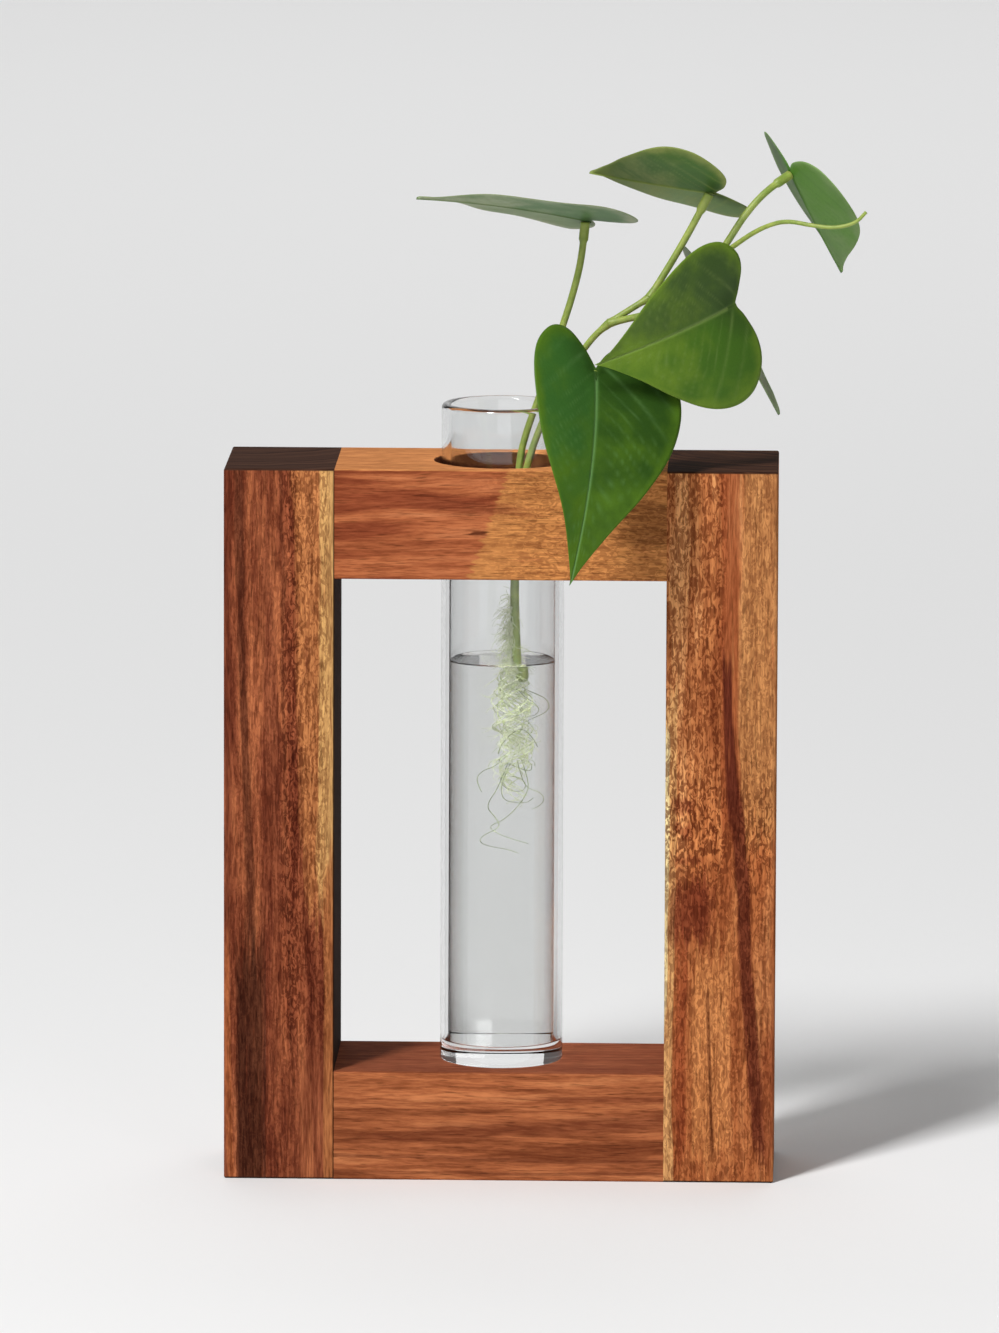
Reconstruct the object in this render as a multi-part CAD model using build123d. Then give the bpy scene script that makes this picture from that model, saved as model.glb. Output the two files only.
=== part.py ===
from build123d import *
import os
from dataclasses import dataclass
from math import cos, pi, radians, sin, sqrt, tan

# A propagation vase: a wooden frame, a glass tube that stands in it, water and a heart-leaf cutting.
# Millimetres, +Z up. The origin is on the floor under the middle of the frame, and the front is at -Y.

# One length by which every cutting shape runs past what it cuts
overrun = 5.0

# Wooden frame: two full-height stiles, with two rails butted between them
frame_width = 125.0
frame_height = 163.0
bar_breadth = 25.0
arris_radius = 0.5

# Dowels that pin the four butt joints
dowel_diameter = 8.0
dowel_length = 30.0
dowel_pitch = 19.0
dowel_clearance = 0.05
dowel_end_space = 1.0
dowel_chamfer = 1.0
dowel_flute_radius = 0.4
dowel_flutes = 16

# Glass tube, stood on the bottom rail through the hole in the top rail
tube_diameter = 28.0
tube_wall = 2.1
tube_proud = 13.0  # how far the rim stands over the frame
tube_floor = 4.5
tube_foot_radius = 3.0
tube_well_radius = 2.0
rim_radius = 1.0
hole_clearance = 1.5
hole_arris = 0.4
hole_cheek = 3.5  # wood left in front of the hole and behind it

# Water
water_fill_share = 0.597
water_clearance = 0.05
meniscus_rise = 0.7
meniscus_reach = 1.8

# The cutting's stalks
spray_span = 100.0
stem_diameter = 1.9
petiole_diameter = 1.7
knee_diameter = 2.3
knee_length = 5.0
shoot_diameter = 1.2
node_diameter = 2.8
stem_clearance = 0.3
stalk_seat = 1.5

# Roots
root_diameter = 0.5
root_clearance = 0.3
root_spread = 6.2
root_drop = 56.0
root_crown = 10.0
root_count = 10
root_turn_count = 2.0
root_points_per_turn = 6
root_fewest_runs = 4

# Leaves, each from the notch to the tip
leaf_thickness = 0.5
midrib_radius = 2.0
front_leaf_length = 49.0
large_leaf_length = 36.0
left_leaf_length = 41.5
upper_leaf_length = 32.0
right_leaf_length = 33.0
back_leaf_length = 38.0

# Places that follow from the sizes above
opening_width = frame_width - 2 * bar_breadth
frame_depth = tube_diameter + 2 * (hole_clearance + hole_cheek)
tube_length = frame_height - bar_breadth + tube_proud
tube_radius = tube_diameter / 2
bore_radius = tube_radius - tube_wall
tube_foot_z = bar_breadth
tube_floor_z = tube_foot_z + tube_floor
rim_z = tube_foot_z + tube_length
tube_inside = rim_z - tube_floor_z
water_z = tube_floor_z + water_fill_share * tube_inside
stem_room = bore_radius - stem_diameter / 2 - stem_clearance

# Half of a heart leaf's outline, notch to tip: shares of the length and of the half width
leaf_outline_shares = [
    (0.0, 0.0), (-0.10, 0.16), (-0.17, 0.42), (-0.15, 0.70), (-0.03, 0.93), (0.15, 1.0),
    (0.35, 0.90), (0.57, 0.63), (0.77, 0.31), (0.92, 0.09), (1.0, 0.0),
]
# How far the sheet that a leaf is cut from runs past the leaf, as shares of its length and half width
sheet_margin_share = 0.08
sheet_back_share = 0.25
sheet_steps = 12

# The stem inside the tube: shares of its room across, and of the tube's inside height
left_fork_share = (0.320, -0.060, 0.822)
wet_stem_shares = [(0.366, 0.0, 0.567), (0.300, 0.0, 0.640), (0.262, -0.020, 0.722)]
stem_foot_shares = wet_stem_shares + [left_fork_share, (0.490, -0.110, 0.905), (0.955, -0.190, 1.0)]
# Stalks above the tube: shares of the spray's span, from the middle of the rim
front_fork_share = (0.138, -0.026, 0.060)
large_fork_share = (0.238, -0.036, 0.187)
upper_fork_share = (0.330, -0.030, 0.245)
back_fork_share = (0.400, -0.020, 0.287)
right_fork_share = (0.484, -0.010, 0.338)
stem_top_shares = [
    front_fork_share, (0.196, -0.030, 0.148), large_fork_share, (0.293, -0.037, 0.223),
    upper_fork_share, back_fork_share, right_fork_share,
]
shoot_shares = [
    (0.518, -0.030, 0.362), (0.555, -0.055, 0.392), (0.595, -0.085, 0.417), (0.640, -0.110, 0.432),
    (0.700, -0.137, 0.423), (0.750, -0.152, 0.420), (0.795, -0.160, 0.432), (0.818, -0.162, 0.458),
]
left_petiole_shares = [
    (0.034, 0.010, -0.140), (0.053, 0.017, -0.064), (0.083, 0.020, 0.016),
    (0.131, 0.030, 0.167), (0.152, 0.036, 0.231), (0.174, 0.043, 0.317),
]
front_petiole_shares = [(0.148, -0.085, 0.088), (0.180, -0.185, 0.112)]
large_petiole_shares = [(0.312, -0.062, 0.208), (0.420, -0.105, 0.233)]
upper_petiole_shares = [(0.380, -0.016, 0.325), (0.422, -0.008, 0.398)]
right_petiole_shares = [(0.508, -0.010, 0.374), (0.546, 0.004, 0.434), (0.592, 0.025, 0.484)]
back_petiole_shares = [(0.418, 0.060, 0.312), (0.438, 0.120, 0.318)]

# Roots: how wide and how long each one grows, and how far up the stem it starts
root_spread_shares = [1.0, 0.58, 0.85, 0.62, 0.95, 0.48, 0.78, 0.58, 0.9, 0.68]
root_length_shares = [0.9, 0.62, 1.0, 0.7, 0.8, 0.66, 0.95, 0.6, 0.86, 0.74]
root_start_shares = [0.9, 1.7, 1.1, 2.0, 1.4, 1.0, 1.7, 1.2, 1.9, 1.5]
root_bulge_share = 2.6
root_drift_share = 0.3


@dataclass
class Leaf:
    """One leaf: its length, its half widths, its form and where it points."""

    length: float
    left_share: float      # half width left of the midrib, seen from above with the tip ahead
    right_share: float
    left_fold: float       # degrees that each half rises from the midrib
    right_fold: float
    camber_share: float    # how much each half arches over towards its margin
    droop_share: float     # how much the tip and the lobes hang below the notch
    heading: float         # degrees from +X to where the tip points, seen from above
    dip: float             # degrees that the tip points below level
    bank: float            # degrees that the blade rolls about its midrib
    seat_shares: tuple     # place of the notch, shares of the spray's span from the rim


leaves = {
    "front": Leaf(
        length=front_leaf_length, left_share=0.436, right_share=0.346, left_fold=14.9, right_fold=16.0,
        camber_share=0.19, droop_share=0.32, heading=-84.4, dip=48.1, bank=-27.1,
        seat_shares=(0.215, -0.271, 0.115),
    ),
    "large": Leaf(
        length=large_leaf_length, left_share=0.597, right_share=0.470, left_fold=11.2, right_fold=11.5,
        camber_share=0.12, droop_share=0.20, heading=-134.8, dip=17.3, bank=-89.7,
        seat_shares=(0.510, -0.140, 0.236),
    ),
    "left": Leaf(
        length=left_leaf_length, left_share=0.508, right_share=0.422, left_fold=6.7, right_fold=3.7,
        camber_share=0.09, droop_share=0.08, heading=196.3, dip=-13.4, bank=10.7,
        seat_shares=(0.198, 0.047, 0.412),
    ),
    "upper": Leaf(
        length=upper_leaf_length, left_share=0.630, right_share=0.468, left_fold=3.2, right_fold=0.2,
        camber_share=-0.02, droop_share=-0.03, heading=155.6, dip=-4.2, bank=29.2,
        seat_shares=(0.479, -0.002, 0.483),
    ),
    "right": Leaf(
        length=right_leaf_length, left_share=0.441, right_share=0.617, left_fold=16.2, right_fold=17.4,
        camber_share=0.10, droop_share=-0.03, heading=55.8, dip=51.9, bank=31.4,
        seat_shares=(0.646, 0.060, 0.532),
    ),
    "back": Leaf(
        length=back_leaf_length, left_share=0.394, right_share=0.424, left_fold=11.1, right_fold=6.7,
        camber_share=0.13, droop_share=0.05, heading=-13.4, dip=60.1, bank=-28.2,
        seat_shares=(0.458, 0.160, 0.330),
    ),
}


def spray_point(shares):
    """A place above the tube, from shares of the spray's span."""
    across, back, up = shares
    return Vector(across * spray_span, back * spray_span, rim_z + up * spray_span)


def tube_point(shares):
    """A place inside the tube, from shares of the stem's room and of the tube's inside height."""
    across, back, up = shares
    return Vector(across * stem_room, back * stem_room, tube_floor_z + up * tube_inside)


def rounded_path(points):
    """Straight runs joined by tangent arcs that are as large as the runs beside them allow."""
    points = [Vector(p) for p in points]
    if len(points) == 2:
        return Line(*points)
    radii = []
    for before, here, after in zip(points, points[1:], points[2:]):
        run = min((here - before).length, (after - here).length)
        turn = radians((here - before).get_angle(after - here))
        radii.append(0.45 * run / tan(turn / 2))
    return FilletPolyline(*points, radius=radii)


def stalk(points, diameter):
    """A round stalk along a list of places."""
    path = rounded_path(points)
    section = Plane(origin=path @ 0, z_dir=path % 0) * Circle(diameter / 2)
    return sweep(section, path=path)


def largest(shape):
    """The largest solid of a shape, without the scraps that a cut leaves."""
    return max(shape.solids(), key=lambda solid: solid.volume)


def frame_bars():
    """The four bars, split from one eased frame so that their faces meet flush."""
    base = (Align.CENTER, Align.CENTER, Align.MIN)
    window_height = frame_height - 2 * bar_breadth
    frame = Box(frame_width, frame_depth, frame_height, align=base)
    frame -= Pos(Z=bar_breadth) * Box(opening_width, frame_depth + overrun, window_height, align=base)
    corners = frame.edges().filter_by(Axis.Y)
    outer = [e for e in corners if abs(e.center().X) > frame_width / 2 - arris_radius]
    faces = frame.faces().filter_by(Axis.Y)
    rims = [e for face in faces for e in face.edges()]
    frame = fillet(outer + rims, arris_radius)

    hole = Cylinder(tube_radius + hole_clearance, bar_breadth + overrun)
    top_middle = Pos(Z=frame_height - bar_breadth / 2)
    frame -= top_middle * hole
    circles = frame.edges().filter_by(GeomType.CIRCLE)
    frame = chamfer([e for e in circles if e.radius > tube_radius], hole_arris)

    stile = Box(bar_breadth, frame_depth + overrun, frame_height + overrun)
    rail = Box(opening_width, frame_depth + overrun, bar_breadth + overrun)
    stile_place = Pos(X=(opening_width + bar_breadth) / 2, Z=frame_height / 2)
    return {
        "left_stile": frame & stile_place.inverse() * Pos(Z=frame_height) * stile,
        "right_stile": frame & stile_place * stile,
        "top_rail": frame & Pos(Z=frame_height - bar_breadth / 2) * rail,
        "bottom_rail": frame & Pos(Z=bar_breadth / 2) * rail,
    }


def dowel():
    """A fluted dowel pin along X, with chamfered ends."""
    pin = Cylinder(dowel_diameter / 2, dowel_length)
    pin = chamfer(pin.edges().filter_by(GeomType.CIRCLE), dowel_chamfer)
    flute = Cylinder(dowel_flute_radius, dowel_length + overrun)
    pin -= PolarLocations(dowel_diameter / 2, dowel_flutes) * flute
    return Rot(Y=90) * pin


def dowel_socket():
    """The two blind holes that hold one dowel, as one cutting shape along X."""
    return Rot(Y=90) * Cylinder(dowel_diameter / 2 + dowel_clearance, dowel_length + 2 * dowel_end_space)


def glass_tube():
    """A flat-bottomed tube with a fire-polished rim."""
    base = (Align.CENTER, Align.CENTER, Align.MIN)
    outside = Cylinder(tube_radius, tube_length, align=base)
    outside = fillet(outside.edges().filter_by(GeomType.CIRCLE).sort_by(Axis.Z)[0], tube_foot_radius)
    bore = Pos(Z=tube_floor) * Cylinder(bore_radius, tube_length, align=base)
    bore = fillet(bore.edges().filter_by(GeomType.CIRCLE).sort_by(Axis.Z)[0], tube_well_radius)
    tube = outside - bore
    rim = tube.edges().filter_by(GeomType.CIRCLE).group_by(Axis.Z)[-1]
    return Pos(Z=tube_foot_z) * fillet(rim, rim_radius)


def water_body():
    """The water in the tube, drawn up a little where it meets the glass."""
    radius = bore_radius - water_clearance
    bottom = tube_floor_z + water_clearance
    corner = tube_well_radius
    rise_start = (radius - meniscus_reach, water_z)
    edges = [
        Line((0, bottom), (radius - corner, bottom)),
        RadiusArc((radius - corner, bottom), (radius, bottom + corner), -corner),
        Line((radius, bottom + corner), (radius, water_z + meniscus_rise)),
        TangentArc(rise_start, (radius, water_z + meniscus_rise), tangent=(1, 0)),
        Line(rise_start, (0, water_z)),
        Line((0, water_z), (0, bottom)),
    ]
    profile = Plane.XZ * make_face(Curve() + edges)
    return revolve(profile, Axis.Z)


def blade_height(leaf, along, across):
    """How high a leaf's upper face stands over the flat, at a place on it."""
    left = across > 0
    half_width = leaf.length * (leaf.left_share if left else leaf.right_share)
    fold = tan(radians(leaf.left_fold if left else leaf.right_fold))
    rise = fold * (sqrt(across ** 2 + midrib_radius ** 2) - midrib_radius)
    return rise - leaf.camber_share * across ** 2 / half_width - leaf.droop_share * along ** 2 / leaf.length


def leaf_outline(leaf):
    """The flat outline of a heart leaf, notch at the origin and tip along X."""
    left, right = [
        Spline(*[(along * leaf.length, across * side * leaf.length) for along, across in leaf_outline_shares])
        for side in (leaf.left_share, -leaf.right_share)
    ]
    return make_face(Curve() + [left, right])


def leaf_place(leaf):
    """Where the leaf's notch is and how the leaf is turned."""
    turned = Rot(Z=leaf.heading) * Rot(Y=leaf.dip) * Rot(X=leaf.bank)
    return Pos(*spray_point(leaf.seat_shares)) * turned


def leaf_blade(leaf):
    """A thin folded and arched blade, cut to the heart outline."""
    low_x, high_x = -sheet_back_share * leaf.length, (1 + sheet_margin_share) * leaf.length
    low_y = -(1 + sheet_margin_share) * leaf.right_share * leaf.length
    high_y = (1 + sheet_margin_share) * leaf.left_share * leaf.length
    rows = []
    for i in range(sheet_steps + 1):
        along = low_x + (high_x - low_x) * i / sheet_steps
        row = []
        for j in range(sheet_steps + 1):
            across = low_y + (high_y - low_y) * j / sheet_steps
            row.append(Vector(along, across, blade_height(leaf, along, across)))
        rows.append(row)
    sheet = Face.make_surface_from_array_of_points(rows, tol=leaf_thickness / 20)
    slab = extrude(sheet, amount=leaf_thickness, dir=(0, 0, -1))
    stamp = extrude(leaf_outline(leaf), amount=leaf.length, both=True)
    return leaf_place(leaf) * largest(slab & stamp)


def leaf_seat(leaf):
    """The place under the midrib, just past the notch, where the stalk meets the blade."""
    under = blade_height(leaf, stalk_seat, 0) - leaf_thickness / 2
    return (leaf_place(leaf) * Pos(stalk_seat, 0, under)).position


def stem_route():
    """The main stem's places, from its foot in the water to the last fork."""
    return [tube_point(s) for s in stem_foot_shares] + [spray_point(s) for s in stem_top_shares]


def main_stem():
    """The vine, thickened a little where each leaf stalk leaves it."""
    stem = stalk(stem_route(), stem_diameter)
    forks = [spray_point(shares) for shares in (large_fork_share, upper_fork_share, right_fork_share)]
    for place in [tube_point(left_fork_share)] + forks:
        stem += Pos(*place) * Sphere(node_diameter / 2)
    return largest(stem)


def petiole(start, middle_shares, leaf):
    """A leaf stalk from the stem to the underside of its blade, with a thicker knee at the blade."""
    end = leaf_seat(leaf)
    route = [start] + [spray_point(s) for s in middle_shares] + [end]
    body = stalk(route, petiole_diameter)
    back = (route[-2] - end).normalized()
    knee_start = end + back * min(knee_length, (route[-2] - end).length)
    return body + stalk([knee_start, end], knee_diameter)


def root_routes():
    """Routes of the roots: each turns round the stem's foot in its own sector, so none cross."""
    foot = tube_point(stem_foot_shares[0])
    routes = []
    for k in range(root_count):
        sector = 2 * pi * k / root_count
        start_up = root_start_shares[k] * root_crown
        drop = start_up + root_length_shares[k] * (root_drop - root_crown)
        turns = root_turn_count * drop / root_drop
        steps = max(root_fewest_runs, round(turns * root_points_per_turn))
        route = []
        for i in range(steps + 1):
            done = i / steps
            up = start_up - done * drop
            angle = sector + 2 * pi * root_turn_count * up / root_drop
            reach = root_spread * root_spread_shares[k] * sin(root_bulge_share * done)
            drift = root_drift_share * root_spread * max(0.0, -up) / root_drop
            route.append(foot + stem_lean(up) + Vector(reach * cos(angle) - drift, reach * sin(angle), up))
        routes.append(route)
    return routes


def stem_lean(up):
    """How far the stem's middle line has moved sideways at a height above its foot."""
    if up <= 0:
        return Vector(0, 0, 0)
    foot, bend, upper = [tube_point(s) for s in stem_foot_shares[:3]]
    low, high = (foot, bend) if foot.Z + up < bend.Z else (bend, upper)
    share = (foot.Z + up - low.Z) / (high.Z - low.Z)
    place = low + (high - low) * share
    return Vector(place.X - foot.X, place.Y - foot.Y, 0)


def make_parts():
    """Every node by name."""
    parts = frame_bars()

    # Dowels and their sockets
    joints = {
        "dowels_top_left": (-1, frame_height - bar_breadth / 2, "left_stile", "top_rail"),
        "dowels_top_right": (1, frame_height - bar_breadth / 2, "right_stile", "top_rail"),
        "dowels_bottom_left": (-1, bar_breadth / 2, "left_stile", "bottom_rail"),
        "dowels_bottom_right": (1, bar_breadth / 2, "right_stile", "bottom_rail"),
    }
    for name, (side, height, stile, rail) in joints.items():
        pins = []
        for row in (-1, 1):
            place = Pos(side * opening_width / 2, row * dowel_pitch / 2, height)
            parts[stile] -= place * dowel_socket()
            parts[rail] -= place * dowel_socket()
            pins.append((place * dowel()).solid())
        parts[name] = Compound(pins)

    parts["glass_tube"] = glass_tube()

    # Leaves, stem and stalks: each stalk is trimmed to the stem that carries it and to its blade
    stem = main_stem()
    blades = {name: leaf_blade(leaf) for name, leaf in leaves.items()}
    parts["main_stem"] = stem
    shoot_route = [spray_point(s) for s in [right_fork_share] + shoot_shares]
    shoot = stalk(shoot_route, shoot_diameter)
    stalks = {
        "front": (spray_point(front_fork_share), front_petiole_shares),
        "large": (spray_point(large_fork_share), large_petiole_shares),
        "left": (tube_point(left_fork_share), left_petiole_shares),
        "upper": (spray_point(upper_fork_share), upper_petiole_shares),
        "right": (spray_point(right_fork_share), right_petiole_shares),
        "back": (spray_point(back_fork_share), back_petiole_shares),
    }
    for name, (start, middle) in stalks.items():
        body = petiole(start, middle, leaves[name])
        parts["petiole_" + name] = largest(body - stem - blades[name])
        parts["leaf_" + name] = blades[name]
    parts["shoot_tip"] = largest(shoot - stem - parts["petiole_right"])

    # Roots, and the water that they hang in
    routes = root_routes()
    parts["roots"] = Compound([largest(stalk(route, root_diameter) - stem) for route in routes])
    water = water_body()
    wet_stem = [tube_point(s) for s in wet_stem_shares]
    water -= stalk(wet_stem, stem_diameter + 2 * root_clearance)
    for route in routes:
        water -= stalk(route, root_diameter + 2 * root_clearance)
    parts["water"] = largest(water)
    return parts


os.makedirs("parts", exist_ok=True)
for name, shape in make_parts().items():
    export_step(shape, f"parts/{name}.step")
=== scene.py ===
import math
import random
from functools import partial

import bmesh
import bpy
from bpy.props import FloatProperty, FloatVectorProperty, IntProperty, PointerProperty
from mathutils import Euler, Matrix, Vector, noise


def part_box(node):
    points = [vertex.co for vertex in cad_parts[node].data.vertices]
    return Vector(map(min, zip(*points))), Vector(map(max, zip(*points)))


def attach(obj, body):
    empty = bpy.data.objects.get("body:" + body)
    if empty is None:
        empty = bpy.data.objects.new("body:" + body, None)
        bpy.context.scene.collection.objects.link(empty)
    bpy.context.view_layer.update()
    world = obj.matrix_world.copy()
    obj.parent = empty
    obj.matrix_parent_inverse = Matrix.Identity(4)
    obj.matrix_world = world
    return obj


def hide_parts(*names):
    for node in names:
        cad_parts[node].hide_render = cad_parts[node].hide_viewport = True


bl_info = {
    "name": "Propagation Vase",
    "version": (1, 0, 0),
    "blender": (4, 5, 0),
    "location": "3D View > Sidebar > Vase",
    "description": "A wooden frame with a glass tube, water and a rooted heart-leaf cutting",
    "category": "Object",
}

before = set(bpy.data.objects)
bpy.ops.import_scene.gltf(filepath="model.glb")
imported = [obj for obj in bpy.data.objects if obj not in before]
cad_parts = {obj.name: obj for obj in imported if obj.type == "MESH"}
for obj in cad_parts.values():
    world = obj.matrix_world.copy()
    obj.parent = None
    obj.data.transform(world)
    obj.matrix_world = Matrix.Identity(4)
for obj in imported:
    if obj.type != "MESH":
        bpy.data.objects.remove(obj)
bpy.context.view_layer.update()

MM = 0.001
PLUS = {"operation": "ADD"}
TIMES = {"operation": "MULTIPLY"}
TIMES_PLUS = {"operation": "MULTIPLY_ADD"}
SMOOTH = {"interpolation_type": "SMOOTHSTEP"}
COLOUR = {"out": 2, "data_type": "RGBA"}
tube_low, tube_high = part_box("glass_tube")
water_low, water_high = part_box("water")
bar_low, bar_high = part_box("left_stile")


# Small helpers

def linear(code):
    """An sRGB hex colour as linear red, green, blue and a full alpha."""
    channels = [int(code[i:i + 2], 16) / 255 for i in (1, 3, 5)]
    return [c / 12.92 if c <= 0.04045 else ((c + 0.055) / 1.055) ** 2.4 for c in channels] + [1.0]


def colour(name, description, code):
    """A colour that a user would change."""
    return FloatVectorProperty(
        name=name, description=description, default=linear(code)[:3], subtype="COLOR", size=3, min=0, max=1,
    )


def length(name, description, millimetres):
    """A length that a user would change."""
    return FloatProperty(
        name=name, description=description, default=millimetres * MM, unit="LENGTH", min=0, precision=5,
    )


def power(name, description, watts):
    """A lamp's power that a user would change."""
    return FloatProperty(name=name, description=description, default=watts, min=0, unit="POWER")


def node(tree, kind, inputs=(), out=0, **settings):
    """Adds a node with its settings, sets or links its inputs by order or by name, and gives one output."""
    made = tree.nodes.new("ShaderNode" + kind)
    for name, value in settings.items():
        setattr(made, name, value)
    for key, value in inputs.items() if isinstance(inputs, dict) else enumerate(inputs):
        socket = made.inputs[key]
        if isinstance(value, bpy.types.NodeSocket):
            tree.links.new(value, socket)
        elif socket.type == "RGBA" and len(value) == 3:
            socket.default_value = [*value, 1.0]
        else:
            socket.default_value = value
    return made.outputs[out] if made.outputs else made


def new_material(name):
    """An empty material, and the node-adding function for its tree."""
    material = bpy.data.materials.new(name)
    material.use_nodes = True
    material.node_tree.nodes.clear()
    return material, partial(node, material.node_tree)


def in_millimetres(add):
    """Where on a piece a point lies, in millimetres."""
    return add("VectorMath", {0: add("TexCoord", out="Object"), 3: 1 / MM}, operation="SCALE")


def add_object(name, data):
    """Puts a mesh, a lamp or a camera in the scene."""
    made = bpy.data.objects.new(name, data)
    bpy.context.scene.collection.objects.link(made)
    return made


def add_piece(name, verts, faces, materials, body, stands_for=()):
    """Adds a smooth mesh with its materials, and says what it rides on and stands for."""
    mesh = bpy.data.meshes.new(name)
    mesh.from_pydata([tuple(v) for v in verts], [], faces)
    mesh.validate()
    for face in mesh.polygons:
        face.use_smooth = True
    for material in materials:
        mesh.materials.append(material)
    piece = add_object(name, mesh)
    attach(piece, body)
    if stands_for:
        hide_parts(*stands_for)
    return piece


def coat_node(name, material):
    """Gives one of the frame's own solids its material."""
    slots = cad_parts[name].data.materials
    slots.clear()
    slots.append(material)


def arc(centre, radius, start, end, steps):
    """Points of a round stretch in a turned profile, from one angle to another, in degrees."""
    turns = [math.radians(start + (end - start) * i / steps) for i in range(steps + 1)]
    return [(centre[0] + radius * math.cos(t), centre[1] + radius * math.sin(t)) for t in turns]


def turned(profile, sides):
    """Vertices and faces of a body turned about the upright axis, from its bottom pole to its top pole."""
    verts, faces = [Vector((0, 0, profile[0][1]))], []
    rings = profile[1:-1]
    for radius, height in rings:
        for j in range(sides):
            angle = 2 * math.pi * j / sides
            verts.append(Vector((radius * math.cos(angle), radius * math.sin(angle), height)))
    verts.append(Vector((0, 0, profile[-1][1])))
    last = len(verts) - 1
    for j in range(sides):
        k = (j + 1) % sides
        faces.append((0, 1 + k, 1 + j))
        for i in range(len(rings) - 1):
            low, high = 1 + i * sides, 1 + (i + 1) * sides
            faces.append((low + j, low + k, high + k, high + j))
        top = 1 + (len(rings) - 1) * sides
        faces.append((top + j, top + k, last))
    return verts, faces


def rounded(places, rounds=4):
    """Rounds the corners of a route and keeps its ends."""
    for _ in range(rounds):
        cut = [places[0]]
        for a, b in zip(places, places[1:]):
            cut += [a.lerp(b, 0.25), a.lerp(b, 0.75)]
        places = cut + [places[-1]]
    return places


def evenly(path, step):
    """Places along a path about one step apart."""
    runs = [(b - a).length for a, b in zip(path, path[1:])]
    total = sum(runs)
    count = max(2, round(total / step))
    places, i, gone = [], 0, 0.0
    for k in range(count + 1):
        want = total * k / count
        while i < len(runs) - 1 and gone + runs[i] < want:
            gone += runs[i]
            i += 1
        places.append(path[i].lerp(path[i + 1], min(1.0, (want - gone) / max(runs[i], 1e-9))))
    return places


def limb(verts, faces, path, radius_at, sides):
    """Adds a round limb along a path. radius_at gives its radius at a share of its length."""
    first = len(verts)
    side = (path[1] - path[0]).orthogonal().normalized()
    count = len(path)
    for i, place in enumerate(path):
        ahead = (path[min(i + 1, count - 1)] - path[max(i - 1, 0)]).normalized()
        side = (side - ahead * side.dot(ahead)).normalized()
        other = ahead.cross(side)
        radius = radius_at(i / (count - 1))
        for j in range(sides):
            angle = 2 * math.pi * j / sides
            verts.append(place + (side * math.cos(angle) + other * math.sin(angle)) * radius)
    for i in range(count - 1):
        low, high = first + i * sides, first + (i + 1) * sides
        for j in range(sides):
            k = (j + 1) % sides
            faces.append((low + j, low + k, high + k, high + j))
    for ring, place, flip in ((first, path[0], True), (first + (count - 1) * sides, path[-1], False)):
        pole = len(verts)
        verts.append(Vector(place))
        for j in range(sides):
            k = (j + 1) % sides
            faces.append((ring + k, ring + j, pole) if flip else (ring + j, ring + k, pole))


# Settings

class WoodSettings(bpy.types.PropertyGroup):
    stile_heart: colour("Left stile", "Red-brown heartwood of the left stile", "#80442D")
    gold: colour("Right stile", "Golden heartwood of the right stile", "#AC6A40")
    rail_red: colour("Top rail", "Red-brown part of the top rail", "#A55D3A")
    base_rail: colour("Bottom rail", "Red-brown heartwood of the bottom rail", "#A15D3A")
    end_grain: colour("End grain", "Dark oiled end grain", "#33211A")
    beech: colour("Beech", "Pale beech of the dowels", "#CDAA7D")


class GlassSettings(bpy.types.PropertyGroup):
    wall: length("Wall", "Thickness of the glass wall", 2.1)
    floor: length("Floor", "Thickness of the glass floor", 4.5)
    foot: length("Foot radius", "Radius of the tube's outer bottom edge", 0.5)
    well: length("Well radius", "Radius of the tube's inner bottom edge", 0.3)
    hollow: length("Hollow", "How far the tube's underside is pushed up", 0.3)
    sides: IntProperty(name="Sides", description="Facets round the tube", default=160, min=32)
    tint: colour("Glass tint", "Faint grey that the glass takes from light", "#F4F5F5")
    water_tint: colour("Water tint", "Faint grey that the water takes from light", "#F1F1F0")
    rise: length("Meniscus rise", "How far the water climbs the glass", 0.7)
    reach: length("Meniscus reach", "How wide the climbing edge is", 1.8)


class PlantSettings(bpy.types.PropertyGroup):
    stalk: colour("Stalk", "Yellow-green of the stalks", "#9CA953")
    stalk_shade: colour("Stalk, shaded side", "Deeper green of the stalks", "#7F9342")
    root: colour("Root hairs", "Pale yellow-green of the root hairs", "#EDF2CF")
    old_root: colour("Root loops", "Grey-green of the long roots", "#A3AE86")
    stem_width: length("Stem", "Diameter of the main stem at its foot", 2.3)
    petiole_width: length("Leaf stalk", "Diameter of a leaf stalk", 1.6)
    leaf_thickness: length("Leaf thickness", "Thickness of a blade", 0.38)


class StageSettings(bpy.types.PropertyGroup):
    floor: colour("Floor", "Plain pale floor", "#EDEDED")
    sky: FloatProperty(name="Fill", description="Brightness of the even fill light", default=0.105, min=0)
    key: power("Key light", "Soft key light", 71.5)
    back: power("Far light", "Light over the far floor", 33.0)
    wall: power("Far wall", "Bright upright panel far behind", 45.0)
    panel: power("Panel", "Low soft panel in front", 4.0)


class VaseSettings(bpy.types.PropertyGroup):
    wood: PointerProperty(type=WoodSettings)
    glass: PointerProperty(type=GlassSettings)
    plant: PointerProperty(type=PlantSettings)
    stage: PointerProperty(type=StageSettings)


# Oiled acacia: planed bars of streaked heartwood, with dark veins, pale sapwood and a low oil sheen

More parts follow.
